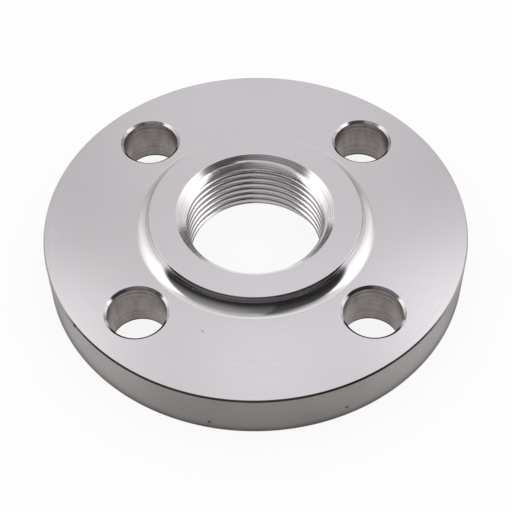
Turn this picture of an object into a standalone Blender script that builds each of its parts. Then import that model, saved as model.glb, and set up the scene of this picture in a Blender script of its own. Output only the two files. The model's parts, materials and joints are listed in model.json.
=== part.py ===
"""Threaded pipe flange for 1-1/4 inch pipe, forged and machined in one piece.

Units are metres and +Z is up. The origin is on the flange's axis, in the plane of its flat underside.
The hub stands up, with the wide end of its tapered pipe thread at the top.
The blank is turned, then the bolt holes and the thread are cut out of it.
"""

import math

import bmesh
import bpy

MM = 0.001
INCH = 25.4 * MM

# Flange plate
RIM_THICKNESS = 14.7 * MM
RIM_EDGE_CHAMFER = 0.45 * MM

# Bolt holes
BOLT_HOLE_COUNT = 4
BOLT_CIRCLE_DIAMETER = 88.9 * MM
BOLT_HOLE_DIAMETER = 16.0 * MM
BOLT_HOLE_CHAMFER = 0.8 * MM
BOLT_HOLE_CHAMFER_ANGLE = math.radians(120.0)
BOLT_HOLE_TO_RIM = 7.05 * MM
FIRST_BOLT_HOLE_ANGLE = math.radians(45.0)

# Hub
HUB_PROJECTION = 4.2 * MM
HUB_WALL = 8.85 * MM
HUB_FILLET_RADIUS = 4.0 * MM
HUB_EDGE_CHAMFER = 0.2 * MM

# Tapered pipe thread, measured in the plane of the hub's top face
THREADS_PER_INCH = 11.5
THREAD_PITCH_DIAMETER = 40.2 * MM
THREAD_FLAT_IN_PITCHES = 0.06
THREAD_FLANK_ANGLE = math.radians(30.0)
THREAD_TAPER_ON_DIAMETER = 1.0 / 16.0
THREAD_START_ANGLE = math.radians(104.0)

# Countersinks at the two ends of the thread
TOP_COUNTERSINK = 1.3 * MM
BOTTOM_COUNTERSINK = 1.4 * MM

# Fineness of the round surfaces
TURNING_STEPS = 96
HOLE_STEPS = 40
FILLET_STEPS = 6
THREAD_STEPS = 48

# How far a cutter runs past the surface that it cuts
OVERCUT = 1.0 * MM
MERGE_DISTANCE = 0.00001

SHARP_EDGE_ANGLE = math.radians(25.0)

STEEL_COLOUR = (0.60, 0.58, 0.59, 1.0)
STEEL_ROUGHNESS = 0.22

# Sizes that follow from the ones above
FLANGE_HEIGHT = RIM_THICKNESS + HUB_PROJECTION
RIM_RADIUS = BOLT_CIRCLE_DIAMETER / 2 + BOLT_HOLE_DIAMETER / 2 + BOLT_HOLE_TO_RIM
THREAD_PITCH = INCH / THREADS_PER_INCH
THREAD_FLAT = THREAD_FLAT_IN_PITCHES * THREAD_PITCH
THREAD_DEPTH = (THREAD_PITCH / 2 - THREAD_FLAT) / math.tan(THREAD_FLANK_ANGLE)
THREAD_PITCH_RADIUS = THREAD_PITCH_DIAMETER / 2
THREAD_CREST_RADIUS = THREAD_PITCH_RADIUS - THREAD_DEPTH / 2
THREAD_ROOT_RADIUS = THREAD_PITCH_RADIUS + THREAD_DEPTH / 2
HUB_RADIUS = THREAD_ROOT_RADIUS + HUB_WALL
MOUTH_RADIUS = THREAD_ROOT_RADIUS + TOP_COUNTERSINK


def taper_scale(height):
    """How much narrower than at the hub's top the thread is at a height above the underside."""
    slope = THREAD_TAPER_ON_DIAMETER / 2 / THREAD_PITCH_RADIUS
    return 1.0 + slope * (height - FLANGE_HEIGHT)


def crest_radius(height):
    """Radius of the bored cone that the thread is cut into."""
    return THREAD_CREST_RADIUS * taper_scale(height)


def remove_scene_objects():
    for scene_object in list(bpy.data.objects):
        bpy.data.objects.remove(scene_object, do_unlink=True)


def new_collection(name):
    collection = bpy.data.collections.new(name)
    bpy.context.scene.collection.children.link(collection)
    return collection


def steel_material():
    material = bpy.data.materials.new("turned_stainless_steel")
    material.use_nodes = True
    shader = material.node_tree.nodes["Principled BSDF"]
    shader.inputs["Base Color"].default_value = STEEL_COLOUR
    shader.inputs["Metallic"].default_value = 1.0
    shader.inputs["Roughness"].default_value = STEEL_ROUGHNESS
    return material


def profile_mesh(name, points, closed):
    """Edges through (radius, height) points, in the XZ plane."""
    mesh = bpy.data.meshes.new(name)
    vertices = [(radius, 0.0, height) for radius, height in points]
    edges = [(index, index + 1) for index in range(len(points) - 1)]
    if closed:
        edges.append((len(points) - 1, 0))
    mesh.from_pydata(vertices, edges, [])
    return mesh


def add_turning(target, steps):
    """Turns the object's profile round Z."""
    screw = target.modifiers.new("turning", "SCREW")
    screw.axis = "Z"
    screw.angle = math.tau
    screw.steps = steps
    screw.render_steps = steps
    screw.use_merge_vertices = True
    screw.merge_threshold = MERGE_DISTANCE
    return screw


def smoothing_nodes():
    """A node group that shades faces smooth and keeps the edges sharper than the limit crisp."""
    group = bpy.data.node_groups.new("smooth_by_angle", "GeometryNodeTree")
    group.interface.new_socket("Geometry", in_out="INPUT", socket_type="NodeSocketGeometry")
    group.interface.new_socket("Geometry", in_out="OUTPUT", socket_type="NodeSocketGeometry")
    group_input = group.nodes.new("NodeGroupInput")
    group_output = group.nodes.new("NodeGroupOutput")
    smooth_faces = group.nodes.new("GeometryNodeSetShadeSmooth")
    sharp_edges = group.nodes.new("GeometryNodeSetShadeSmooth")
    sharp_edges.domain = "EDGE"
    sharp_edges.inputs["Shade Smooth"].default_value = False
    edge_angle = group.nodes.new("GeometryNodeInputMeshEdgeAngle")
    is_sharp = group.nodes.new("FunctionNodeCompare")
    is_sharp.operation = "GREATER_THAN"
    is_sharp.inputs["B"].default_value = SHARP_EDGE_ANGLE
    group.links.new(edge_angle.outputs["Unsigned Angle"], is_sharp.inputs["A"])
    group.links.new(is_sharp.outputs["Result"], sharp_edges.inputs["Selection"])
    group.links.new(group_input.outputs["Geometry"], smooth_faces.inputs["Geometry"])
    group.links.new(smooth_faces.outputs["Geometry"], sharp_edges.inputs["Geometry"])
    group.links.new(sharp_edges.outputs["Geometry"], group_output.inputs["Geometry"])
    return group


def hide_cutter(cutter):
    cutter.hide_render = True
    cutter.display_type = "WIRE"


def hub_fillet_points():
    """Concave quarter arc from the hub's wall out to the flange's face, no taller than the wall itself."""
    radius = min(HUB_FILLET_RADIUS, HUB_PROJECTION - HUB_EDGE_CHAMFER)
    centre_radius = HUB_RADIUS + radius
    centre_height = RIM_THICKNESS + radius
    points = []
    for step in range(FILLET_STEPS + 1):
        angle = math.pi + math.pi / 2 * step / FILLET_STEPS
        points.append((centre_radius + radius * math.cos(angle), centre_height + radius * math.sin(angle)))
    return points


def countersink_foot(outer_radius, face_height, direction):
    """Where a 45 degree cone from a circle on a face meets the bored cone, going down (-1) or up (+1)."""
    slope = THREAD_TAPER_ON_DIAMETER / 2 * THREAD_CREST_RADIUS / THREAD_PITCH_RADIUS
    depth = (outer_radius - crest_radius(face_height)) / (1.0 + direction * slope)
    height = face_height + direction * depth
    return (crest_radius(height), height)


def flange_profile():
    """Section of the turned blank, from the hub's top edge outwards, down, and back up the bore."""
    hub_top_edge = [
        (HUB_RADIUS - HUB_EDGE_CHAMFER, FLANGE_HEIGHT),
        (HUB_RADIUS, FLANGE_HEIGHT - HUB_EDGE_CHAMFER),
    ]
    rim_edges = [
        (RIM_RADIUS - RIM_EDGE_CHAMFER, RIM_THICKNESS),
        (RIM_RADIUS, RIM_THICKNESS - RIM_EDGE_CHAMFER),
        (RIM_RADIUS, RIM_EDGE_CHAMFER),
        (RIM_RADIUS - RIM_EDGE_CHAMFER, 0.0),
    ]
    bottom_radius = crest_radius(0.0) + BOTTOM_COUNTERSINK
    bore = [
        (bottom_radius, 0.0),
        countersink_foot(bottom_radius, 0.0, 1),
        countersink_foot(MOUTH_RADIUS, FLANGE_HEIGHT, -1),
        (MOUTH_RADIUS, FLANGE_HEIGHT),
    ]
    return hub_top_edge + hub_fillet_points() + rim_edges + bore


def make_flange(collection, material):
    mesh = profile_mesh("flange", flange_profile(), closed=True)
    mesh.materials.append(material)
    flange = bpy.data.objects.new("flange", mesh)
    collection.objects.link(flange)
    add_turning(flange, TURNING_STEPS)
    return flange


def bolt_hole_profile():
    """Half section of a drill with a countersink at each face of the plate."""
    radius = BOLT_HOLE_DIAMETER / 2
    slope = math.tan(BOLT_HOLE_CHAMFER_ANGLE / 2)
    depth = BOLT_HOLE_CHAMFER / slope
    flare = radius + BOLT_HOLE_CHAMFER + OVERCUT * slope
    top = RIM_THICKNESS
    return [
        (0.0, top + HUB_PROJECTION + OVERCUT),
        (flare, top + HUB_PROJECTION + OVERCUT),
        (flare, top + OVERCUT),
        (radius, top - depth),
        (radius, depth),
        (flare, -OVERCUT),
        (0.0, -OVERCUT),
    ]


def make_bolt_hole_cutters(collection):
    mesh = profile_mesh("bolt_hole_cutter", bolt_hole_profile(), closed=False)
    cutters = []
    for index in range(BOLT_HOLE_COUNT):
        cutter = bpy.data.objects.new(f"bolt_hole_cutter_{index + 1}", mesh)
        collection.objects.link(cutter)
        add_turning(cutter, HOLE_STEPS)
        angle = FIRST_BOLT_HOLE_ANGLE + math.tau * index / BOLT_HOLE_COUNT
        radius = BOLT_CIRCLE_DIAMETER / 2
        cutter.location = (radius * math.cos(angle), radius * math.sin(angle), 0.0)
        hide_cutter(cutter)
        cutters.append(cutter)
    return cutters


def thread_groove_profile():
    """Section of one turn of the groove, with its root outwards and a narrow back inside the bore.

    The root and the crest have flats of one width. The flanks run past the crest into the open bore until
    half of the crest's flat is left between neighbouring turns, so that the turns never touch.
    """
    half_root = THREAD_FLAT / 2
    run_past = THREAD_FLAT / 4 / math.tan(THREAD_FLANK_ANGLE)
    half_lip = (THREAD_PITCH - THREAD_FLAT / 2) / 2
    lip_radius = THREAD_CREST_RADIUS - run_past
    back_radius = THREAD_CREST_RADIUS - OVERCUT
    return [
        (back_radius, half_root),
        (lip_radius, half_lip),
        (THREAD_ROOT_RADIUS, half_root),
        (THREAD_ROOT_RADIUS, -half_root),
        (lip_radius, -half_lip),
        (back_radius, -half_root),
    ]


def thread_start_height():
    """Lowest height of the groove at the +X side, one turn or more below the underside.

    At the start angle the groove's root meets the top countersink, as far below the top as it is wide.
    """
    at_start_angle = FLANGE_HEIGHT - TOP_COUNTERSINK
    at_x_axis = at_start_angle - THREAD_PITCH * THREAD_START_ANGLE / math.tau
    turns_below = math.ceil(at_x_axis / THREAD_PITCH) + 1
    return at_x_axis - turns_below * THREAD_PITCH


def make_thread_cutter(collection):
    """A right-hand helical groove, swept straight and then tapered towards the underside."""
    start = thread_start_height()
    turns = math.ceil((FLANGE_HEIGHT - start) / THREAD_PITCH) + 1
    points = [(radius, height + start) for radius, height in thread_groove_profile()]
    sweep = bpy.data.objects.new("thread_sweep", profile_mesh("thread_sweep", points, closed=True))
    collection.objects.link(sweep)
    screw = add_turning(sweep, THREAD_STEPS)
    screw.screw_offset = THREAD_PITCH
    screw.iterations = turns
    screw.use_merge_vertices = False

    evaluated = sweep.evaluated_get(bpy.context.evaluated_depsgraph_get())
    mesh = bpy.data.meshes.new_from_object(evaluated)
    mesh.name = "thread_cutter"
    bpy.data.objects.remove(sweep, do_unlink=True)

    shape = bmesh.new()
    shape.from_mesh(mesh)
    for vertex in shape.verts:
        scale = taper_scale(vertex.co.z)
        vertex.co.x *= scale
        vertex.co.y *= scale
    ends = [edge for edge in shape.edges if edge.is_boundary]
    bmesh.ops.holes_fill(shape, edges=ends, sides=0)
    bmesh.ops.recalc_face_normals(shape, faces=shape.faces)
    shape.to_mesh(mesh)
    shape.free()

    cutter = bpy.data.objects.new("thread_cutter", mesh)
    collection.objects.link(cutter)
    hide_cutter(cutter)
    return cutter


def cut(target, cutter):
    boolean = target.modifiers.new(cutter.name, "BOOLEAN")
    boolean.operation = "DIFFERENCE"
    boolean.solver = "EXACT"
    boolean.object = cutter


def main():
    remove_scene_objects()
    part_collection = new_collection("threaded_flange")
    cutter_collection = new_collection("cutters")
    flange = make_flange(part_collection, steel_material())
    for cutter in make_bolt_hole_cutters(cutter_collection):
        cut(flange, cutter)
    cut(flange, make_thread_cutter(cutter_collection))
    smoothing = flange.modifiers.new("smoothing", "NODES")
    smoothing.node_group = smoothing_nodes()


main()
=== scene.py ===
"""Looks of a threaded pipe flange: its turned, drilled and threaded steel surfaces, and a plain studio.

Run as a script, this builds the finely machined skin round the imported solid. In Blender it also adds a
panel in the 3D view's sidebar, with one button for each step.
"""

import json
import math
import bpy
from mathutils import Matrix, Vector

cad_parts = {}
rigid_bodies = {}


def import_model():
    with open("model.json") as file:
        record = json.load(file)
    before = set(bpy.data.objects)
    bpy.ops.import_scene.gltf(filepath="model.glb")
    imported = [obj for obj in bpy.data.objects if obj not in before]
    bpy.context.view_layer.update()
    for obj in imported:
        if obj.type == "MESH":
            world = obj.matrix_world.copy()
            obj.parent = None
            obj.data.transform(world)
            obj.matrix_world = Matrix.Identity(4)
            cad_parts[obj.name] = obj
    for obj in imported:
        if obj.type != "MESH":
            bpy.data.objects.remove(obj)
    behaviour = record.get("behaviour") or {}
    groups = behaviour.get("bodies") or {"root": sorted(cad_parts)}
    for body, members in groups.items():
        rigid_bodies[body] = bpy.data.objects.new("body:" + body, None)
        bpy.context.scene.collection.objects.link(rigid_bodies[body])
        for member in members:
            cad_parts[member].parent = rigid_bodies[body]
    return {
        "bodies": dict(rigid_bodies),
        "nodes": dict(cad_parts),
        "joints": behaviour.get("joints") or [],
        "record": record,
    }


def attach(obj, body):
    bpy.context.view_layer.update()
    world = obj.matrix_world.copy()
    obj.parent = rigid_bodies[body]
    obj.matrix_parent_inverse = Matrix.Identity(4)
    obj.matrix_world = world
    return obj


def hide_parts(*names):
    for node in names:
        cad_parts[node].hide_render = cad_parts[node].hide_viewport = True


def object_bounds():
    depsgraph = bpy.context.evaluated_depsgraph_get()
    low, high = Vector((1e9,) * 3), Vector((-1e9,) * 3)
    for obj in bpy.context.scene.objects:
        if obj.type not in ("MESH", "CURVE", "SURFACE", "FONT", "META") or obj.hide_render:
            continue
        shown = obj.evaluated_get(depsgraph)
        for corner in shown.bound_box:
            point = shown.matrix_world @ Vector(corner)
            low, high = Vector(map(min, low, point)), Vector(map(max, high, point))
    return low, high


bl_info = {
    "name": "Threaded Flange Looks",
    "version": (1, 0, 0),
    "blender": (4, 5, 0),
    "location": "View3D > Sidebar > Flange",
    "description": "Builds the machined skin of a threaded pipe flange and a plain studio round it",
    "category": "Object",
}

import bmesh
import bpy
import numpy as np
from mathutils import Matrix, Vector

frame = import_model()
CAD_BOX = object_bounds()

MM = 0.001
INCH = 25.4 * MM

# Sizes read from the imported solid
RIM_RADIUS = CAD_BOX[1][0]
FLANGE_HEIGHT = CAD_BOX[1][2]

# How finely the round surfaces are cut up
TURNING_STEPS = 384
THREAD_STEPS = 192
SIDE_STEPS = 24
PLATE_RINGS = 5
FILLET_STEPS = 28
EDGE_STEPS = 5
CREST_STEPS = 3
TENT_STEPS = 96
TENT_RINGS = 48

# Spans of the ring round a bolt hole that face the parts of its sector, in degrees from outwards
OUTER_ARC_SPAN = 75.0
INNER_ARC_START = 110.0

MERGE_DISTANCE = 1e-6
SHARP_EDGE_ANGLE = math.radians(28.0)
HOLDING_DISTANCE = 0.06 * MM
CUTTER_BACK = 1.0 * MM
RING_MARGIN = 0.4 * MM
FACE_METALLIC = 0.82
FLOOR_GLOW_SHARE = 0.88

BODY_PIECE = "flange_skin"
FINISH_NAMES = ("turned_face", "polished_fillet", "turned_rim", "drilled_wall", "hole_chamfer",
                "countersink", "cut_thread", "underside")


class FlangeSizes(bpy.types.PropertyGroup):
    """Sizes of the flange's surfaces, close to those of the solid"""

    plate_thickness: bpy.props.FloatProperty(
        name="Plate thickness", description="Height of the plate with the bolt holes",
        default=14.7 * MM, unit="LENGTH")
    hub_wall: bpy.props.FloatProperty(
        name="Hub wall", description="Metal between the root of the thread and the outside of the hub",
        default=8.85 * MM, unit="LENGTH")
    hub_fillet: bpy.props.FloatProperty(
        name="Hub fillet", description="Radius of the hollow where the hub meets the plate",
        default=4.0 * MM, unit="LENGTH")
    rim_chamfer: bpy.props.FloatProperty(
        name="Rim chamfer", description="Chamfer on both edges of the rim", default=0.45 * MM, unit="LENGTH")
    bolt_circle: bpy.props.FloatProperty(
        name="Bolt circle", description="Diameter of the circle of bolt holes",
        default=88.9 * MM, unit="LENGTH")
    bolt_hole: bpy.props.FloatProperty(
        name="Bolt hole", description="Diameter of a bolt hole", default=16.0 * MM, unit="LENGTH")
    bolt_hole_chamfer: bpy.props.FloatProperty(
        name="Bolt hole chamfer", description="Width of the chamfer at both ends of a bolt hole",
        default=0.8 * MM, unit="LENGTH")
    bolt_hole_cone: bpy.props.FloatProperty(
        name="Bolt hole cone", description="Full angle of the cone that chamfers a bolt hole",
        default=math.radians(106.0), subtype="ANGLE")
    bolt_hole_count: bpy.props.IntProperty(
        name="Bolt holes", description="How many bolt holes the plate has", default=4, min=3, max=12)
    edge_break: bpy.props.FloatProperty(
        name="Edge break", description="Radius of the deburred edges", default=0.16 * MM, unit="LENGTH")
    pitch_diameter: bpy.props.FloatProperty(
        name="Pitch diameter", description="Pitch diameter of the thread in the plane of the hub's top",
        default=40.2 * MM, unit="LENGTH")
    threads_per_inch: bpy.props.FloatProperty(
        name="Turns per inch", description="Turns of the thread in an inch", default=11.5, min=4.0)
    thread_flat: bpy.props.FloatProperty(
        name="Thread flat", description="Width of the flats on crest and root, in pitches", default=0.06)
    crest_rounding: bpy.props.FloatProperty(
        name="Crest rounding", description="Radius of the worn crests of the thread", default=0.45 * MM,
        unit="LENGTH")
    flank_angle: bpy.props.FloatProperty(
        name="Flank angle", description="Slope of the flanks between the rounded crests", subtype="ANGLE",
        default=math.radians(25.0))
    thread_taper: bpy.props.FloatProperty(
        name="Thread taper", description="Taper of the thread on its diameter", default=1.0 / 16.0)
    thread_start: bpy.props.FloatProperty(
        name="Thread start", description="Where the thread breaks into the top countersink",
        default=math.radians(140.0), subtype="ANGLE")
    top_countersink: bpy.props.FloatProperty(
        name="Top countersink", description="How much wider than the thread's root the mouth is",
        default=1.3 * MM, unit="LENGTH")
    bottom_countersink: bpy.props.FloatProperty(
        name="Bottom countersink", description="How much wider than the bore its lower mouth is",
        default=1.4 * MM, unit="LENGTH")


class FlangeFinish(bpy.types.PropertyGroup):
    """Colours and roughness of the machined steel"""

    face_colour: bpy.props.FloatVectorProperty(
        name="Faces", description="Steel of the turned faces", subtype="COLOR", default=(0.60, 0.572, 0.592))
    fillet_colour: bpy.props.FloatVectorProperty(
        name="Fillet", description="Steel of the polished fillet", subtype="COLOR",
        default=(0.66, 0.635, 0.65))
    # Steel of the rim, darkened as painted shade.
    rim_colour_with_painted_shade: bpy.props.FloatVectorProperty(
        name="Rim", description="Duller steel of the rim", subtype="COLOR", default=(0.33, 0.305, 0.297))
    drilled_colour: bpy.props.FloatVectorProperty(
        name="Bolt holes", description="Dull steel of the drilled walls", subtype="COLOR",
        default=(0.235, 0.208, 0.198))
    thread_colour: bpy.props.FloatVectorProperty(
        name="Thread", description="Bright steel of the thread", subtype="COLOR", default=(0.74, 0.71, 0.72))
    face_roughness: bpy.props.FloatProperty(
        name="Face roughness", description="Roughness of the turned faces", default=0.19, min=0.02, max=1.0)
    fillet_roughness: bpy.props.FloatProperty(
        name="Fillet roughness", description="Roughness of the polished fillet", default=0.10,
        min=0.02, max=1.0)
    rim_roughness: bpy.props.FloatProperty(
        name="Rim roughness", description="Roughness of the rim", default=0.30, min=0.02, max=1.0)


class StudioSettings(bpy.types.PropertyGroup):
    """Camera and tent of the plain studio"""

    camera_distance: bpy.props.FloatProperty(
        name="Camera distance", description="From the origin to the camera", default=0.35548, unit="LENGTH")
    camera_azimuth: bpy.props.FloatProperty(
        name="Camera azimuth", description="Direction of the camera, turned from +X", subtype="ANGLE",
        default=math.radians(271.01))
    camera_elevation: bpy.props.FloatProperty(
        name="Camera elevation", description="Height of the camera over the floor, as an angle",
        subtype="ANGLE", default=math.radians(51.02))
    camera_pitch: bpy.props.FloatProperty(
        name="Camera pitch", description="How far the camera aims above the origin", subtype="ANGLE",
        default=math.radians(-0.063))
    camera_roll: bpy.props.FloatProperty(
        name="Camera roll", description="How far the camera leans", subtype="ANGLE",
        default=math.radians(0.971))
    camera_lens: bpy.props.FloatProperty(
        name="Lens", description="Focal length for a 36 mm sensor, in millimetres", default=85.92)
    tent_radius: bpy.props.FloatProperty(
        name="Tent", description="Radius of the light tent over the flange", default=0.22, unit="LENGTH")
    tent_opening: bpy.props.FloatProperty(
        name="Tent opening", description="Radius of bare floor inside the tent's ring of paper",
        default=0.0597, unit="LENGTH")
    floor_radius: bpy.props.FloatProperty(
        name="Floor radius", description="How far the floor reaches", default=3.0, unit="LENGTH")


def thread_sizes(sizes):
    """Pitch, flat, depth and the three radii of the thread in the plane of the hub's top."""
    pitch = INCH / sizes.threads_per_inch
    flat = sizes.thread_flat * pitch
    depth = (pitch / 2 - flat) / math.tan(math.radians(30.0))
    middle = sizes.pitch_diameter / 2
    return {"pitch": pitch, "flat": flat, "depth": depth, "middle": middle,
            "crest": middle - depth / 2, "root": middle + depth / 2}


def taper_scale(sizes, height):
    """Radius of the thread at a height, as a share of its radius in the plane of the hub's top."""
    slope = sizes.thread_taper / 2 / (sizes.pitch_diameter / 2)
    return 1.0 + slope * (height - FLANGE_HEIGHT)


def rounded_profile(corners):
    """A polyline in (radius, height) through corners given as (radius, height, rounding, steps).

    Each rounded corner becomes an arc that touches both sides. A holding point on each side, just before the
    arc, keeps the flat beside it flat when the surface is shaded smooth.
    """
    points = [np.array(corners[0][:2])]
    for before, corner, after in zip(corners, corners[1:], corners[2:]):
        here = np.array(corner[:2])
        rounding, steps = corner[2], corner[3]
        if rounding == 0.0:
            points.append(here)
            continue
        back = np.array(before[:2]) - here
        ahead = np.array(after[:2]) - here
        back /= np.linalg.norm(back)
        ahead /= np.linalg.norm(ahead)
        half_angle = math.acos(float(np.clip(back @ ahead, -1.0, 1.0))) / 2
        reach = rounding / math.tan(half_angle)
        middle = back + ahead
        centre = here + middle / np.linalg.norm(middle) * rounding / math.sin(half_angle)
        first = here + back * reach - centre
        last = here + ahead * reach - centre
        share = np.linspace(0.0, 1.0, steps + 1)[:, None]
        sweep = math.pi - 2 * half_angle
        arc = (np.sin((1 - share) * sweep) * first + np.sin(share * sweep) * last) / math.sin(sweep)
        points.append(here + back * (reach + HOLDING_DISTANCE))
        points.extend(centre + arc)
        points.append(here + ahead * (reach + HOLDING_DISTANCE))
    points.append(np.array(corners[-1][:2]))
    return np.array(points)


def grid_faces(rows, columns):
    """Quads of a grid of points whose last column joins its first."""
    row, column = np.meshgrid(np.arange(rows - 1), np.arange(columns), indexing="ij")
    following = (column + 1) % columns
    corners = [row * columns + column, row * columns + following,
               (row + 1) * columns + following, (row + 1) * columns + column]
    return np.stack(corners, axis=-1).reshape(-1, 4)


def turned_surface(profile, steps):
    """Each profile point (radius, height) carried round the axis: x = r cos a, y = r sin a, z = height."""
    angle = np.arange(steps) * math.tau / steps
    radius, height = profile[:, :1], profile[:, 1:]
    points = np.stack([radius * np.cos(angle), radius * np.sin(angle), height + 0.0 * angle], axis=-1)
    return points.reshape(-1, 3), grid_faces(len(profile), steps)


def ring_angles(arc_steps):
    """Angles round a bolt hole, from its outward direction, in the order of its sector's boundary."""
    outer = np.linspace(-OUTER_ARC_SPAN, OUTER_ARC_SPAN, arc_steps + 1)
    side = np.linspace(OUTER_ARC_SPAN, INNER_ARC_START, SIDE_STEPS + 1)
    inner = np.linspace(INNER_ARC_START, 360.0 - INNER_ARC_START, arc_steps + 1)
    other_side = np.linspace(360.0 - INNER_ARC_START, 360.0 - OUTER_ARC_SPAN, SIDE_STEPS + 1)
    return np.radians(np.concatenate([outer[:-1], side[:-1], inner[:-1], other_side[:-1]]))


def sector_boundary(inner_radius, outer_radius, half_span, arc_steps):
    """Closed outline of a sector: outer arc, side inwards, inner arc back and side outwards, as (x, y)."""
    arc = np.linspace(-half_span, half_span, arc_steps + 1)
    side = np.linspace(outer_radius, inner_radius, SIDE_STEPS + 1)
    angle = np.concatenate([arc[:-1], np.full(SIDE_STEPS, half_span),
                            arc[:0:-1], np.full(SIDE_STEPS, -half_span)])
    radius = np.concatenate([np.full(arc_steps, outer_radius), side[:-1],
                             np.full(arc_steps, inner_radius), side[:0:-1]])
    return np.stack([radius * np.cos(angle), radius * np.sin(angle)], axis=-1)


def turned_about_z(points, angle):
    """The points turned about the flange's axis."""
    cosine, sine = math.cos(angle), math.sin(angle)
    x = points[:, 0] * cosine - points[:, 1] * sine
    y = points[:, 0] * sine + points[:, 1] * cosine
    return np.stack([x, y, points[:, 2]], axis=-1)


def bolt_hole_sector(sizes, profile, inner_radius, outer_radius):
    """One sector of the plate with its bolt hole, about the +X direction.

    The hole is its profile carried round the hole's axis. Each face of the plate is the straight blend from
    the hole's outermost ring to the sector's boundary, point by point.
    """
    arc_steps = TURNING_STEPS // sizes.bolt_hole_count
    half_span = math.pi / sizes.bolt_hole_count
    angle = ring_angles(arc_steps)
    centre = np.array([sizes.bolt_circle / 2, 0.0])
    radius, height = profile[:, :1], profile[:, 1:]
    hole = np.stack([centre[0] + radius * np.cos(angle), radius * np.sin(angle),
                     height + 0.0 * angle], axis=-1)
    parts = [(hole.reshape(-1, 3), grid_faces(len(profile), len(angle)))]
    boundary = sector_boundary(inner_radius, outer_radius, half_span, arc_steps)
    share = np.linspace(0.0, 1.0, PLATE_RINGS)[:, None, None]
    for ring in (hole[0], hole[-1]):
        flat = ring[None, :, :2] * (1 - share) + boundary[None] * share
        face = np.concatenate([flat, np.full(flat.shape[:2] + (1,), ring[0, 2])], axis=-1)
        parts.append((face.reshape(-1, 3), grid_faces(PLATE_RINGS, len(angle))))
    return joined(parts)


def joined(parts):
    """One set of points and quads from several."""
    points, quads, count = [], [], 0
    for part_points, part_quads in parts:
        points.append(part_points)
        quads.append(part_quads + count)
        count += len(part_points)
    return np.concatenate(points), np.concatenate(quads)


def mesh_from_arrays(name, points, quads):
    """A mesh with the given points and four-sided faces."""
    mesh = bpy.data.meshes.new(name)
    mesh.vertices.add(len(points))
    mesh.vertices.foreach_set("co", points.astype(np.float32).ravel())
    mesh.loops.add(quads.size)
    mesh.loops.foreach_set("vertex_index", quads.astype(np.int32).ravel())
    mesh.polygons.add(len(quads))
    mesh.polygons.foreach_set("loop_start", np.arange(0, quads.size, 4, dtype=np.int32))
    mesh.update(calc_edges=True)
    return mesh


def weld(mesh):
    """Merges the seams of a closed shape and points its faces outwards."""
    shape = bmesh.new()
    shape.from_mesh(mesh)
    bmesh.ops.remove_doubles(shape, verts=shape.verts, dist=MERGE_DISTANCE)
    bmesh.ops.recalc_face_normals(shape, faces=shape.faces)
    shape.to_mesh(mesh)
    shape.free()


def add_object(name, mesh):
    """A new object at the origin in the scene's collection."""
    piece = bpy.data.objects.new(name, mesh)
    bpy.context.scene.collection.objects.link(piece)
    return piece


def countersink_foot(sizes, outer_radius, face_height, direction):
    """Where a 45 degree cone from a circle on a face meets the tapered bore, going down (-1) or up (+1)."""
    thread = thread_sizes(sizes)
    slope = sizes.thread_taper / 2 * thread["crest"] / thread["middle"]
    depth = (outer_radius - thread["crest"] * taper_scale(sizes, face_height)) / (1.0 + direction * slope)
    height = face_height + direction * depth
    return thread["crest"] * taper_scale(sizes, height), height


def hub_profile(sizes, inner_radius):
    """Section from the plate's top face over the fillet and hub, down the bore and out to the underside."""
    thread = thread_sizes(sizes)
    edge = sizes.edge_break
    hub_radius = thread["root"] + sizes.hub_wall
    mouth = thread["root"] + sizes.top_countersink
    lower_mouth = thread["crest"] * taper_scale(sizes, 0.0) + sizes.bottom_countersink
    upper_foot = countersink_foot(sizes, mouth, FLANGE_HEIGHT, -1)
    lower_foot = countersink_foot(sizes, lower_mouth, 0.0, 1)
    return rounded_profile([
        (inner_radius, sizes.plate_thickness),
        (hub_radius, sizes.plate_thickness, sizes.hub_fillet, FILLET_STEPS),
        (hub_radius, FLANGE_HEIGHT, edge, EDGE_STEPS),
        (mouth, FLANGE_HEIGHT, edge, EDGE_STEPS),
        (upper_foot[0], upper_foot[1], 0.0, 1),
        (lower_foot[0], lower_foot[1], 0.0, 1),
        (lower_mouth, 0.0, edge, EDGE_STEPS),
        (inner_radius, 0.0),
    ])


def rim_profile(sizes, outer_radius):
    """Section from the plate's top face round the chamfered rim to the underside."""
    thickness, chamfer, edge = sizes.plate_thickness, sizes.rim_chamfer, sizes.edge_break
    return rounded_profile([
        (outer_radius, thickness),
        (RIM_RADIUS - chamfer, thickness, edge, EDGE_STEPS),
        (RIM_RADIUS, thickness - chamfer, edge * 1.6, EDGE_STEPS),
        (RIM_RADIUS, thickness / 2, 0.0, 1),
        (RIM_RADIUS, chamfer, edge * 1.6, EDGE_STEPS),
        (RIM_RADIUS - chamfer, 0.0, edge, EDGE_STEPS),
        (outer_radius, 0.0),
    ])


def bolt_hole_profile(sizes, ring_radius):
    """Section of a bolt hole from the plate's top face down its wall to the underside."""
    radius, chamfer = sizes.bolt_hole / 2, sizes.bolt_hole_chamfer
    depth = chamfer / math.tan(sizes.bolt_hole_cone / 2)
    thickness, edge = sizes.plate_thickness, sizes.edge_break
    return rounded_profile([
        (ring_radius, thickness),
        (radius + chamfer, thickness, edge, EDGE_STEPS),
        (radius, thickness - depth, edge, EDGE_STEPS),
        (radius, thickness / 2, 0.0, 1),
        (radius, depth, edge, EDGE_STEPS),
        (radius + chamfer, 0.0, edge, EDGE_STEPS),
        (ring_radius, 0.0),
    ])


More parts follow.
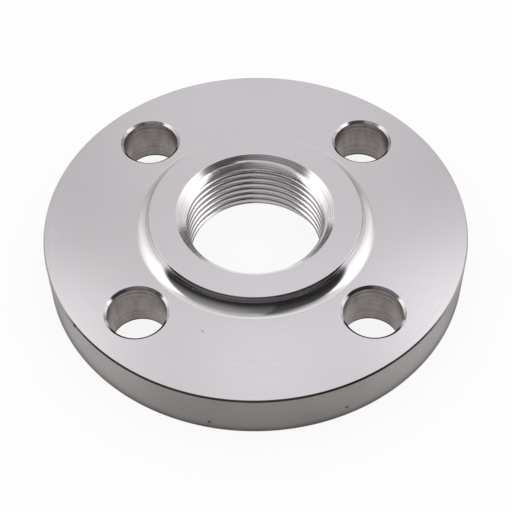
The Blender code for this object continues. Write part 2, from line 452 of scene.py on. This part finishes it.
def blank_mesh(sizes):
    """The turned and drilled flange, before its thread is cut."""
    hub_radius = thread_sizes(sizes)["root"] + sizes.hub_wall
    inner_radius = hub_radius + sizes.hub_fillet + RING_MARGIN
    outer_radius = RIM_RADIUS - sizes.rim_chamfer - RING_MARGIN
    ring_radius = sizes.bolt_hole / 2 + sizes.bolt_hole_chamfer + RING_MARGIN
    parts = [
        turned_surface(hub_profile(sizes, inner_radius), TURNING_STEPS),
        turned_surface(rim_profile(sizes, outer_radius), TURNING_STEPS),
    ]
    sector_points, sector_quads = bolt_hole_sector(
        sizes, bolt_hole_profile(sizes, ring_radius), inner_radius, outer_radius)
    for index in range(sizes.bolt_hole_count):
        angle = (index + 0.5) * math.tau / sizes.bolt_hole_count
        parts.append((turned_about_z(sector_points, angle), sector_quads))
    mesh = mesh_from_arrays(BODY_PIECE, *joined(parts))
    weld(mesh)
    return mesh


def thread_start_height(sizes, pitch):
    """Height of the groove at the +X side, a turn or more under the underside."""
    at_x_axis = FLANGE_HEIGHT - sizes.top_countersink - pitch * sizes.thread_start / math.tau
    return at_x_axis - (math.ceil(at_x_axis / pitch) + 1) * pitch


def groove_profile(sizes):
    """Section of the groove as (radius, offset along the axis), closed, with its lower side first.

    From the root a flank leads to an arc round the crest. The arc crosses the bore just before the crest's
    middle, so that a narrow flat of the bore stays there, and ends inside the bore.
    """
    thread = thread_sizes(sizes)
    rounding, flank = sizes.crest_rounding, sizes.flank_angle
    crossing, last = math.radians(12.0), math.radians(4.0)
    turn = np.concatenate([[last], np.linspace(crossing, math.pi / 2 - flank, CREST_STEPS + 1)])
    arc_radius = thread["crest"] + rounding * (math.cos(crossing) - np.cos(turn))
    arc_offset = thread["pitch"] / 2 - rounding * np.sin(turn)
    root_offset = arc_offset[-1] - (thread["root"] - arc_radius[-1]) * math.tan(flank)
    radius = np.concatenate([[thread["crest"] - CUTTER_BACK], arc_radius, [thread["root"]]])
    offset = np.concatenate([[arc_offset[-1] / 2], arc_offset, [max(root_offset, 0.01 * MM)]])
    return np.concatenate([radius, radius[::-1]]), np.concatenate([-offset, offset[::-1]])


def groove_mesh(sizes):
    """The thread's groove: its section carried up a right-hand helix.

    x = r cos a, y = r sin a, z = h + pitch * a / (one turn), and each radius grows with height.
    """
    pitch = thread_sizes(sizes)["pitch"]
    radius, offset = groove_profile(sizes)
    start = thread_start_height(sizes, pitch)
    turns = math.ceil((FLANGE_HEIGHT - start) / pitch) + 1
    angle = np.arange(turns * THREAD_STEPS + 1)[:, None] * math.tau / THREAD_STEPS
    height = start + offset + pitch * angle / math.tau
    tapered = radius * taper_scale(sizes, height)
    points = np.stack([tapered * np.cos(angle), tapered * np.sin(angle), height], axis=-1).reshape(-1, 3)
    sides = grid_faces(len(angle), len(radius))
    low = np.arange(len(radius) // 2 - 1)
    high = len(radius) - 1 - low
    first_cap = np.stack([low, low + 1, high - 1, high], axis=-1)
    last_cap = first_cap[:, ::-1] + len(points) - len(radius)
    mesh = mesh_from_arrays("groove", points, np.concatenate([sides, first_cap, last_cap]))
    weld(mesh)
    return mesh


def cut_groove(body, groove):
    """Cuts the groove out of the body and keeps the result as the body's own mesh."""
    boolean = body.modifiers.new("thread", "BOOLEAN")
    boolean.operation = "DIFFERENCE"
    boolean.solver = "EXACT"
    boolean.object = groove
    evaluated = body.evaluated_get(bpy.context.evaluated_depsgraph_get())
    mesh = bpy.data.meshes.new_from_object(evaluated)
    body.modifiers.clear()
    body.data = mesh
    mesh.name = BODY_PIECE
    bpy.data.objects.remove(groove, do_unlink=True)


def finish_of_faces(sizes, mesh):
    """Index of the finish of each face, told from where the face lies and which way it looks."""
    count = len(mesh.polygons)
    centre = np.empty(count * 3)
    normal = np.empty(count * 3)
    mesh.polygons.foreach_get("center", centre)
    mesh.polygons.foreach_get("normal", normal)
    centre, normal = centre.reshape(-1, 3), normal.reshape(-1, 3)
    thread = thread_sizes(sizes)
    radius = np.hypot(centre[:, 0], centre[:, 1])
    height = centre[:, 2]
    inward = -(centre[:, 0] * normal[:, 0] + centre[:, 1] * normal[:, 1]) / radius
    angles = (np.arange(sizes.bolt_hole_count) + 0.5) * math.tau / sizes.bolt_hole_count
    hole_x = sizes.bolt_circle / 2 * np.cos(angles)
    hole_y = sizes.bolt_circle / 2 * np.sin(angles)
    to_hole = np.hypot(centre[:, :1] - hole_x, centre[:, 1:2] - hole_y).min(axis=1)
    hub_radius = thread["root"] + sizes.hub_wall
    in_bore = radius < thread["root"] + sizes.top_countersink + 0.05 * MM
    on_slope = np.abs(normal[:, 2]) < 0.98
    on_cone = np.abs(inward - np.abs(normal[:, 2])) < 0.12
    finish = np.full(count, FINISH_NAMES.index("turned_face"))
    finish[(height < 0.2 * MM) & ~on_slope] = FINISH_NAMES.index("underside")
    on_rim = radius > RIM_RADIUS - sizes.rim_chamfer - 0.01 * MM
    finish[on_rim & on_slope] = FINISH_NAMES.index("turned_rim")
    near_fillet = (radius > hub_radius - 0.01 * MM) & (radius < hub_radius + sizes.hub_fillet + 0.05 * MM)
    finish[near_fillet & (height > sizes.plate_thickness)] = FINISH_NAMES.index("polished_fillet")
    near_hole = to_hole < sizes.bolt_hole / 2 + sizes.bolt_hole_chamfer
    finish[near_hole & on_slope] = FINISH_NAMES.index("hole_chamfer")
    in_hole = to_hole < sizes.bolt_hole / 2 + 0.02 * MM
    finish[in_hole & on_slope] = FINISH_NAMES.index("drilled_wall")
    finish[in_bore & on_slope] = FINISH_NAMES.index("cut_thread")
    finish[in_bore & on_slope & on_cone] = FINISH_NAMES.index("countersink")
    return finish


class NodeTree:
    """A short way to add nodes and links to a material's or world's tree."""

    def __init__(self, owner):
        owner.use_nodes = True
        self.tree = owner.node_tree
        self.tree.nodes.clear()

    def add(self, kind, inputs=None, **settings):
        """Adds a node. An input is a value, or the output socket that feeds it."""
        node = self.tree.nodes.new(kind)
        for name, value in settings.items():
            setattr(node, name, value)
        for name, value in (inputs or {}).items():
            socket = node.inputs[name]
            if isinstance(value, bpy.types.NodeSocket):
                self.tree.links.new(value, socket)
            else:
                socket.default_value = value
        return node

    def math(self, operation, first, second=0.0):
        return self.add("ShaderNodeMath", {0: first, 1: second}, operation=operation).outputs[0]

    def sum_of(self, first, *others):
        for other in others:
            first = self.math("ADD", first, other)
        return first

    def product_of(self, first, *others):
        for other in others:
            first = self.math("MULTIPLY", first, other)
        return first

    def blend(self, factor, first, second):
        """The first value where the factor is 0, the second where it is 1, and a mix between."""
        return self.add("ShaderNodeMix", {0: factor, 2: first, 3: second}).outputs[0]

    def ramp(self, value, low, high, to_low=0.0, to_high=1.0, smooth=True):
        """Maps a value from low..high to to_low..to_high and holds it there outside."""
        node = self.add("ShaderNodeMapRange", {
            "Value": value, "From Min": low, "From Max": high, "To Min": to_low, "To Max": to_high})
        node.interpolation_type = "SMOOTHSTEP" if smooth else "LINEAR"
        return node.outputs["Result"]

    def mix_colour(self, factor, first, second, blend="MIX"):
        node = self.add("ShaderNodeMix", {0: factor, 6: first, 7: second},
                        data_type="RGBA", blend_type=blend)
        return node.outputs[2]

    def noise(self, scale, detail=2.0, coordinates=None, along=None, roughness=0.5):
        """Noise through space at the coordinates, or along one value."""
        if along is None:
            node = self.add("ShaderNodeTexNoise", {
                "Vector": coordinates, "Scale": scale, "Detail": detail, "Roughness": roughness})
        else:
            node = self.add("ShaderNodeTexNoise", {"W": along, "Scale": scale, "Detail": detail,
                                                   "Roughness": roughness}, noise_dimensions="1D")
        return node.outputs[0]


def rgba(colour, gain=1.0):
    return (colour[0] * gain, colour[1] * gain, colour[2] * gain, 1.0)


def axial_coordinates(nodes):
    """Object coordinates, distance from the flange's axis, and height."""
    coordinates = nodes.add("ShaderNodeTexCoord").outputs["Object"]
    parts = nodes.add("ShaderNodeSeparateXYZ", {"Vector": coordinates})
    squares = nodes.math("ADD", nodes.math("MULTIPLY", parts.outputs["X"], parts.outputs["X"]),
                         nodes.math("MULTIPLY", parts.outputs["Y"], parts.outputs["Y"]))
    return coordinates, nodes.math("SQRT", squares), parts.outputs["Z"]


def steel_shader(nodes, colour, roughness, normal, anisotropy=0.0, metallic=1.0):
    """A bare metal shader joined to the material's output."""
    shader = nodes.add("ShaderNodeBsdfPrincipled", {
        "Base Color": colour, "Metallic": metallic, "Roughness": roughness, "Normal": normal,
        "Anisotropic": anisotropy})
    if anisotropy:
        tangent = nodes.add("ShaderNodeTangent", direction_type="RADIAL", axis="Z")
        nodes.tree.links.new(tangent.outputs["Tangent"], shader.inputs["Tangent"])
    nodes.add("ShaderNodeOutputMaterial", {"Surface": shader.outputs["BSDF"]})


def lathe_marks(nodes, along, pitch, strength, depth):
    """Fine grooves of a cutting tool, at the given pitch along one coordinate, with a slower waviness."""
    fine = nodes.noise(1.0 / pitch, detail=3.0, along=along, roughness=0.7)
    broad = nodes.noise(0.12 / pitch, detail=1.0, along=along)
    height = nodes.math("ADD", fine, nodes.math("MULTIPLY", broad, 1.5))
    bump = nodes.add("ShaderNodeBump", {"Height": height, "Strength": strength, "Distance": depth})
    return bump.outputs["Normal"]


def spot(nodes, place, azimuth, radius, height, size):
    """1 within a small round spot on the surface, given by its azimuth in degrees, radius and height."""
    turned = math.radians(azimuth)
    centre = (radius * math.cos(turned), radius * math.sin(turned), height)
    away = nodes.add("ShaderNodeVectorMath", {0: place, 1: centre}, operation="DISTANCE").outputs["Value"]
    return nodes.ramp(away, size, size * 0.4)


def turned_face_material(finish, sizes):
    """Finely turned face: concentric marks too fine to count, and a faint cloudiness."""
    nodes = NodeTree(bpy.data.materials.new("turned_face"))
    place, radius, _ = axial_coordinates(nodes)
    cloud = nodes.noise(22.0, detail=3.0, coordinates=place)
    rings = nodes.noise(900.0, detail=2.0, along=radius)
    tint = nodes.mix_colour(nodes.ramp(cloud, 0.35, 0.65), rgba(finish.face_colour, 0.975),
                            rgba((finish.face_colour[0] * 1.01, finish.face_colour[1] * 1.0,
                                  finish.face_colour[2] * 1.02)))
    rough = nodes.math("ADD", nodes.ramp(rings, 0.3, 0.7, -0.02, 0.02),
                       nodes.ramp(cloud, 0.3, 0.7, finish.face_roughness - 0.015,
                                  finish.face_roughness + 0.015))
    speck = nodes.product_of(spot(nodes, place, 250.0, 40.1 * MM, sizes.plate_thickness, 0.5 * MM), 0.4)
    tint = nodes.mix_colour(speck, tint, rgba((0.08, 0.07, 0.07)))
    normal = lathe_marks(nodes, radius, 0.16 * MM, 0.12, 0.004 * MM)
    steel_shader(nodes, tint, rough, normal, anisotropy=0.25, metallic=FACE_METALLIC)
    return nodes


def polished_fillet_material(finish, sizes):
    """Hollow between hub and plate, polished enough to mirror the room, with faint tool lines."""
    nodes = NodeTree(bpy.data.materials.new("polished_fillet"))
    place, radius, height = axial_coordinates(nodes)
    cloud = nodes.noise(160.0, detail=3.0, coordinates=place)
    rough = nodes.ramp(cloud, 0.3, 0.75, finish.fillet_roughness - 0.02, finish.fillet_roughness + 0.04)
    along = nodes.math("SUBTRACT", radius, height)
    lathe = lathe_marks(nodes, along, 0.22 * MM, 0.18, 0.004 * MM)
    scuffs = nodes.noise(420.0, detail=4.0, coordinates=place, roughness=0.6)
    upper = nodes.ramp(height, sizes.plate_thickness + 1.2 * MM, sizes.plate_thickness + 2.2 * MM)
    normal = nodes.add("ShaderNodeBump", {
        "Height": scuffs, "Strength": nodes.product_of(upper, 0.35), "Distance": 0.05 * MM,
        "Normal": lathe}).outputs["Normal"]
    steel_shader(nodes, rgba(finish.fillet_colour), rough, normal)
    return nodes


def turned_rim_material(finish, sizes):
    """Rim in steel darkened as painted shade: lathe lines round it and a slightly uneven grey."""
    nodes = NodeTree(bpy.data.materials.new("turned_rim"))
    place, _, height = axial_coordinates(nodes)
    cloud = nodes.noise(60.0, detail=4.0, coordinates=place)
    lines = nodes.noise(2600.0, detail=2.0, along=height)
    # The rim's steel colour is darkened as painted shade.
    tint = nodes.mix_colour(nodes.ramp(cloud, 0.3, 0.7), rgba(finish.rim_colour_with_painted_shade, 0.92),
                            rgba(finish.rim_colour_with_painted_shade, 1.08))
    tint = nodes.mix_colour(nodes.ramp(lines, 0.35, 0.7, 0.0, 0.25), tint, rgba(finish.rim_colour_with_painted_shade, 1.3))
    pits = nodes.math("MAXIMUM", spot(nodes, place, 258.6, RIM_RADIUS, 3.3 * MM, 0.75 * MM),
                      spot(nodes, place, 293.7, RIM_RADIUS, 4.2 * MM, 0.75 * MM))
    nick = spot(nodes, place, 216.7, RIM_RADIUS, 14.3 * MM, 0.9 * MM)
    dents = nodes.product_of(nodes.math("MAXIMUM", pits, nick), 0.8)
    tint = nodes.mix_colour(dents, tint, rgba((0.02, 0.02, 0.02)))
    rough = nodes.ramp(cloud, 0.3, 0.7, finish.rim_roughness - 0.03, finish.rim_roughness + 0.04)
    normal = lathe_marks(nodes, height, 0.25 * MM, 0.25, 0.01 * MM)
    steel_shader(nodes, tint, rough, normal)
    return nodes


def drilled_wall_material(finish, sizes):
    """Wall of a drilled bolt hole: dull and blotchy, with faint marks round it and painted shade along its
    lower edge.
    """
    nodes = NodeTree(bpy.data.materials.new("drilled_wall"))
    place, _, height = axial_coordinates(nodes)
    cloud = nodes.noise(220.0, detail=3.0, coordinates=place)
    blotch = nodes.noise(380.0, detail=4.0, coordinates=nodes.add("ShaderNodeVectorMath", {
        0: place, 1: (1.0, 1.0, 0.35)}, operation="MULTIPLY").outputs[0])
    wavy = nodes.math("ADD", height, nodes.math("MULTIPLY", cloud, 0.9 * MM))
    marks = nodes.noise(1100.0, detail=3.0, along=wavy)
    tone = nodes.sum_of(nodes.ramp(blotch, 0.3, 0.7, 0.0, 0.6), nodes.ramp(marks, 0.3, 0.7, 0.0, 0.4))
    tint = nodes.mix_colour(tone, rgba(finish.drilled_colour, 0.7), rgba(finish.drilled_colour, 1.2))
    # Painted shade: the wall darkens over its lowest 1.5 mm, next to the floor.
    low = nodes.ramp(height, 0.9 * MM, 1.5 * MM, 0.85, 0.0)
    tint = nodes.mix_colour(low, tint, rgba((0.02, 0.02, 0.02)))
    rough = nodes.ramp(marks, 0.3, 0.7, 0.42, 0.3)
    normal = lathe_marks(nodes, wavy, 0.6 * MM, 0.2, 0.02 * MM)
    steel_shader(nodes, tint, rough, normal)
    return nodes


def hole_chamfer_material(finish, sizes):
    """Chamfer at a bolt hole: cut bright and smooth, in face steel darkened as painted shade."""
    nodes = NodeTree(bpy.data.materials.new("hole_chamfer"))
    place, _, _ = axial_coordinates(nodes)
    cloud = nodes.noise(500.0, detail=3.0, coordinates=place)
    # Painted shade: the face's steel at 0.6 to 0.85 of its brightness.
    tint = nodes.mix_colour(nodes.ramp(cloud, 0.35, 0.65), rgba(finish.face_colour, 0.6),
                            rgba(finish.face_colour, 0.85))
    bump = nodes.add("ShaderNodeBump", {"Height": cloud, "Strength": 0.2, "Distance": 0.02 * MM})
    steel_shader(nodes, tint, 0.12, bump.outputs["Normal"])
    return nodes


def countersink_material(finish, sizes):
    """Cone at a mouth of the bore: bright, with fine lines round it and a painted highlight along the edge
    where the thread runs in.
    """
    nodes = NodeTree(bpy.data.materials.new("countersink"))
    place, radius, height = axial_coordinates(nodes)
    parts = nodes.add("ShaderNodeSeparateXYZ", {"Vector": place})
    turned = nodes.math("DEGREES", nodes.math("ARCTAN2", parts.outputs["Y"], parts.outputs["X"]))
    # Painted highlight: a pale, almost non-metallic line along the groove's upper edge, where the thread
    # runs into the cone.
    start = nodes.ramp(turned, 60.0, 110.0, 17.25 * MM, 17.6 * MM, smooth=False)
    above_start = nodes.math("SUBTRACT", height, start)
    painted_run_in_glint = nodes.product_of(nodes.ramp(nodes.math("ABSOLUTE", above_start), 0.32 * MM, 0.08 * MM),
                            nodes.ramp(turned, 52.0, 64.0), nodes.ramp(turned, 112.0, 100.0))
    along = nodes.math("ADD", radius, height)
    normal = lathe_marks(nodes, along, 0.2 * MM, 0.3, 0.006 * MM)
    lines = nodes.ramp(nodes.noise(2500.0, detail=2.0, along=along), 0.35, 0.65, 0.8, 1.15)
    steel = nodes.mix_colour(1.0, rgba(finish.thread_colour), lines, blend="MULTIPLY")
    tint = nodes.mix_colour(painted_run_in_glint, steel, rgba((0.72, 0.70, 0.71)))
    rough = nodes.ramp(nodes.noise(300.0, coordinates=place), 0.3, 0.7, 0.16, 0.24)
    steel_shader(nodes, tint, rough, normal, metallic=nodes.ramp(painted_run_in_glint, 0.0, 1.0, 0.96, 0.1))
    return nodes


def cut_thread_material(finish, sizes):
    """Thread: bright steel with chatter lines along the helix and crests darkened evenly all round as a
    painted dark reflection.
    """
    nodes = NodeTree(bpy.data.materials.new("cut_thread"))
    place, radius, height = axial_coordinates(nodes)
    thread = thread_sizes(sizes)
    slope = sizes.thread_taper / 2 * thread["crest"] / thread["middle"]
    crest = nodes.math("ADD", nodes.math("MULTIPLY", height, slope),
                       thread["crest"] - slope * FLANGE_HEIGHT)
    above_crest = nodes.math("SUBTRACT", radius, crest)
    # Painted reflection: the crests are darkened evenly all round the thread.
    worn_and_painted_dark = nodes.ramp(above_crest, 0.44 * MM, 0.24 * MM, 0.0, 0.6)
    tint = nodes.mix_colour(worn_and_painted_dark, rgba(finish.thread_colour), rgba((0.06, 0.05, 0.055)))
    normal = lathe_marks(nodes, radius, 0.18 * MM, 0.3, 0.008 * MM)
    rough = nodes.ramp(nodes.noise(400.0, coordinates=place), 0.3, 0.7, 0.12, 0.2)
    steel_shader(nodes, tint, rough, normal)
    return nodes


def underside_material(finish, sizes):
    """Gasket face: grooves of a round-nosed tool, wide enough to see, and plain steel."""
    nodes = NodeTree(bpy.data.materials.new("underside"))
    place, radius, _ = axial_coordinates(nodes)
    turns = nodes.math("MULTIPLY", radius, math.tau / (0.8 * MM))
    wave = nodes.math("ABSOLUTE", nodes.math("SINE", turns))
    normal = nodes.add("ShaderNodeBump", {
        "Height": wave, "Strength": 0.5, "Distance": 0.02 * MM}).outputs["Normal"]
    cloud = nodes.noise(40.0, detail=3.0, coordinates=place)
    tint = nodes.mix_colour(nodes.ramp(cloud, 0.3, 0.7), rgba(finish.face_colour, 0.85),
                            rgba(finish.face_colour, 0.95))
    steel_shader(nodes, tint, nodes.ramp(cloud, 0.3, 0.7, 0.26, 0.34), normal)
    return nodes


def direction(azimuth, elevation):
    """Unit vector towards an azimuth and elevation."""
    return Vector((math.cos(elevation) * math.cos(azimuth), math.cos(elevation) * math.sin(azimuth),
                   math.sin(elevation)))


def add_tent(radius, opening):
    """A half round tent over the flange and a ring of paper on the floor, seen only in the flange's metal.

    It is a section carried round the axis: the ring runs in to the opening, the dome is a quarter circle.
    """
    rise = np.radians(np.linspace(0.0, 89.5, TENT_RINGS))
    dome = radius * np.stack([np.cos(rise), np.sin(rise)], axis=-1)
    ring = np.array([[opening, 0.1 * MM], [radius, 0.1 * MM]])
    points, quads = turned_surface(np.concatenate([ring, dome[1:]]), TENT_STEPS)
    tent = add_object("tent", mesh_from_arrays("tent", points, quads))
    tent.visible_camera = False
    tent.visible_diffuse = False
    tent.visible_shadow = False
    tent.data.materials.append(tent_material())
    return tent


def tent_material():
    """Inside of the tent: grey white cloth, a softbox at each side, dark cloth in front, and glowing paper
    below with painted light and a painted shadow next to the flange.

    Each place is told by its height as an angle and by its angle round from straight behind the flange.
    """
    material = bpy.data.materials.new("tent_cloth")
    nodes = NodeTree(material)
    place, across, height = axial_coordinates(nodes)
    toward = nodes.add("ShaderNodeVectorMath", {0: place}, operation="NORMALIZE").outputs[0]
    parts = nodes.add("ShaderNodeSeparateXYZ", {"Vector": toward})
    x, y = parts.outputs["X"], parts.outputs["Y"]
    rise = nodes.math("DEGREES", nodes.math("ARCTAN2", height, across))
    round_from_back = nodes.math("DEGREES", nodes.math("ARCTAN2", nodes.math("ABSOLUTE", x), y))
    sideways = nodes.math("DIVIDE", x, nodes.math("MAXIMUM", nodes.math("ABSOLUTE", y), 0.001))

    bright_patch = nodes.product_of(nodes.ramp(round_from_back, 26.0, 8.0), nodes.ramp(rise, 56.0, 68.0))
    cloth = nodes.sum_of(nodes.ramp(rise, 10.0, 38.0, 0.72, 0.92), nodes.ramp(rise, 52.0, 70.0, 0.0, 0.1),
                         nodes.product_of(bright_patch, 0.15), nodes.ramp(rise, 72.0, 88.0, 0.0, -0.42))
    front_left = nodes.sum_of(nodes.ramp(rise, 20.0, 60.0, 0.04, 0.40, smooth=False),
                              nodes.ramp(rise, 64.0, 88.0, 0.0, 0.28))
    front_right = nodes.sum_of(nodes.ramp(rise, 30.0, 72.0, 0.03, 0.12, smooth=False),
                               nodes.ramp(rise, 79.0, 90.0, 0.0, 0.5))
    fading = nodes.ramp(sideways, nodes.ramp(rise, 62.0, 78.0, -0.6, 0.22), 0.3, 0.0, 0.6)
    at_right = nodes.math("ADD", fading, nodes.ramp(sideways, 0.26, 0.34, 0.0, 0.4))
    front = nodes.blend(at_right, front_left, front_right)
    overhead = nodes.ramp(rise, 60.0, 72.0)
    in_front = nodes.ramp(round_from_back, nodes.blend(overhead, 93.0, 20.0),
                          nodes.blend(overhead, 104.0, 164.0))

    left = nodes.ramp(x, 0.0, -0.01)
    back_edge = nodes.sum_of(nodes.ramp(rise, 42.0, 57.0, 36.0, 19.0), nodes.product_of(left, 8.0))
    top_edge = nodes.ramp(round_from_back, 45.0, 84.0, 63.0, 60.0)
    softbox = nodes.product_of(
        nodes.ramp(round_from_back, back_edge, nodes.math("ADD", back_edge, 46.0), smooth=False),
        nodes.ramp(round_from_back, 101.0, 95.0),
        nodes.ramp(nodes.math("SUBTRACT", top_edge, rise), -3.0, 4.0),
        nodes.ramp(rise, 0.0, 45.0, 0.36, 1.0, smooth=False))
    frame = nodes.product_of(
        nodes.ramp(round_from_back, 12.0, 32.0), nodes.ramp(round_from_back, 46.0, 36.0),
        nodes.ramp(rise, 56.0, 46.0))
    room = nodes.sum_of(nodes.blend(in_front, cloth, front), nodes.product_of(softbox, 1.3),
                        nodes.product_of(frame, -0.17))

    # Painted light on the paper, brighter beside, ahead of and behind the flange, and a painted shadow that
    # darkens it next to the flange.
    beside = nodes.product_of(nodes.ramp(round_from_back, 90.0, 72.0),
                              nodes.ramp(round_from_back, 44.0, 58.0), 0.62)
    ahead = nodes.product_of(nodes.ramp(round_from_back, 105.0, 122.0),
                             nodes.ramp(round_from_back, 172.0, 130.0), 0.24)
    behind = nodes.ramp(round_from_back, 55.0, 15.0, 0.0, 0.8)
    paper_painted_light = nodes.sum_of(beside, ahead, behind, nodes.ramp(across, 0.0614, 0.072, 0.54, 0.66))
    paper = nodes.product_of(paper_painted_light, nodes.ramp(across, 0.0598, 0.0614, 0.35, 1.0))
    brightness = nodes.blend(nodes.ramp(rise, 1.4, 0.7), room, paper)
    glow = nodes.add("ShaderNodeEmission", {"Color": (1.0, 1.0, 1.0, 1.0), "Strength": brightness})
    nodes.add("ShaderNodeOutputMaterial", {"Surface": glow.outputs["Emission"]})
    return material


def seen_directly(nodes):
    """1 for rays from the camera, off metal or through glass, 0 for the rest."""
    path = nodes.add("ShaderNodeLightPath")
    either = nodes.math("MAXIMUM", path.outputs["Is Camera Ray"], path.outputs["Is Glossy Ray"])
    return nodes.math("MAXIMUM", either, path.outputs["Is Transmission Ray"])


def set_world():
    """A plain white room, the one light on matt things."""
    world = bpy.data.worlds.new("white_room")
    nodes = NodeTree(world)
    background = nodes.add("ShaderNodeBackground", {"Color": (1.0, 1.0, 1.0, 1.0), "Strength": 1.0})
    nodes.add("ShaderNodeOutputWorld", {"Surface": background.outputs["Background"]})
    bpy.context.scene.world = world


def floor_material():
    """White paper floor: part of it shines white, and the rest keeps the flange's soft shadow."""
    material = bpy.data.materials.new("white_paper")
    nodes = NodeTree(material)
    paper = nodes.add("ShaderNodeBsdfDiffuse", {"Color": (0.95, 0.95, 0.95, 1.0)})
    white = nodes.add("ShaderNodeEmission", {"Color": (1.0, 1.0, 1.0, 1.0), "Strength": 1.0})
    share = nodes.math("MULTIPLY", seen_directly(nodes), FLOOR_GLOW_SHARE)
    floor = nodes.add("ShaderNodeMixShader", {
        0: share, 1: paper.outputs["BSDF"], 2: white.outputs["Emission"]})
    nodes.add("ShaderNodeOutputMaterial", {"Surface": floor.outputs["Shader"]})
    return material


def add_floor(radius):
    """A round floor in the plane that the flange rests on."""
    shape = bmesh.new()
    bmesh.ops.create_circle(shape, cap_ends=True, segments=128, radius=radius,
                            matrix=Matrix.Translation((0.0, 0.0, -0.02 * MM)))
    mesh = bpy.data.meshes.new("floor")
    shape.to_mesh(mesh)
    shape.free()
    mesh.materials.append(floor_material())
    return add_object("floor", mesh)


def add_camera(studio):
    """The photograph's view: aimed at the origin, then tilted and rolled a little."""
    place = direction(studio.camera_azimuth, studio.camera_elevation) * studio.camera_distance
    aim = (-place).to_track_quat("-Z", "Y").to_matrix()
    tilt = Matrix.Rotation(studio.camera_pitch, 3, "X") @ Matrix.Rotation(-studio.camera_roll, 3, "Z")
    lens = bpy.data.cameras.new("camera")
    lens.sensor_fit = "HORIZONTAL"
    lens.sensor_width = 36.0
    lens.lens = studio.camera_lens
    lens.clip_start = 0.01
    camera = bpy.data.objects.new("camera", lens)
    camera.matrix_world = Matrix.Translation(place) @ (aim @ tilt).to_4x4()
    bpy.context.scene.collection.objects.link(camera)
    bpy.context.scene.camera = camera


class FLANGE_OT_build_skin(bpy.types.Operator):
    """Build the turned, drilled and threaded skin of the flange"""

    bl_idname = "flange.build_skin"
    bl_label = "Build Skin"

    def execute(self, context):
        sizes = context.scene.flange_sizes
        body = add_object(BODY_PIECE, blank_mesh(sizes))
        cut_groove(body, add_object("groove", groove_mesh(sizes)))
        body.data.shade_smooth()
        body.data.set_sharp_from_angle(angle=SHARP_EDGE_ANGLE)
        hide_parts("flange")
        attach(body, "root")
        return {"FINISHED"}


class FLANGE_OT_finish_steel(bpy.types.Operator):
    """Give each surface of the skin its own machined finish"""

    bl_idname = "flange.finish_steel"
    bl_label = "Finish Steel"

    def execute(self, context):
        mesh = bpy.data.objects[BODY_PIECE].data
        finish = context.scene.flange_finish
        makers = (turned_face_material, polished_fillet_material, turned_rim_material, drilled_wall_material,
                  hole_chamfer_material, countersink_material, cut_thread_material, underside_material)
        mesh.materials.clear()
        sizes = context.scene.flange_sizes
        for name, maker in zip(FINISH_NAMES, makers):
            maker(finish, sizes)
            mesh.materials.append(bpy.data.materials[name])
        index = finish_of_faces(sizes, mesh)
        mesh.polygons.foreach_set("material_index", index.astype(np.int32))
        mesh.polygons.foreach_set("use_smooth", index != FINISH_NAMES.index("underside"))
        mesh.update()
        return {"FINISHED"}


class FLANGE_OT_set_stage(bpy.types.Operator):
    """Set the white floor, the room, the light tent and the camera"""

    bl_idname = "flange.set_stage"
    bl_label = "Set Stage"

    def execute(self, context):
        studio = context.scene.flange_studio
        context.scene.view_settings.view_transform = "Standard"
        set_world()
        add_floor(studio.floor_radius)
        add_tent(studio.tent_radius, studio.tent_opening)
        add_camera(studio)
        return {"FINISHED"}


class FLANGE_PT_looks(bpy.types.Panel):
    """Steps that build the flange's looks"""

    bl_idname = "FLANGE_PT_looks"
    bl_label = "Threaded Flange"
    bl_space_type = "VIEW_3D"
    bl_region_type = "UI"
    bl_category = "Flange"

    def draw(self, context):
        layout = self.layout
        for operator in OPERATORS:
            layout.operator(operator.bl_idname)
        for group in ("flange_sizes", "flange_finish", "flange_studio"):
            box = layout.box()
            settings = getattr(context.scene, group)
            for name in settings.bl_rna.properties.keys():
                if name not in ("rna_type", "name"):
                    box.prop(settings, name)


OPERATORS = (FLANGE_OT_build_skin, FLANGE_OT_finish_steel, FLANGE_OT_set_stage)
CLASSES = (FlangeSizes, FlangeFinish, StudioSettings) + OPERATORS + (FLANGE_PT_looks,)


def register():
    for item in CLASSES:
        bpy.utils.register_class(item)
    bpy.types.Scene.flange_sizes = bpy.props.PointerProperty(type=FlangeSizes)
    bpy.types.Scene.flange_finish = bpy.props.PointerProperty(type=FlangeFinish)
    bpy.types.Scene.flange_studio = bpy.props.PointerProperty(type=StudioSettings)


def unregister():
    del bpy.types.Scene.flange_studio
    del bpy.types.Scene.flange_finish
    del bpy.types.Scene.flange_sizes
    for item in reversed(CLASSES):
        bpy.utils.unregister_class(item)


def main():
    register()
    bpy.ops.flange.build_skin()
    bpy.ops.flange.finish_steel()
    bpy.ops.flange.set_stage()


if __name__ == "__main__":
    main()
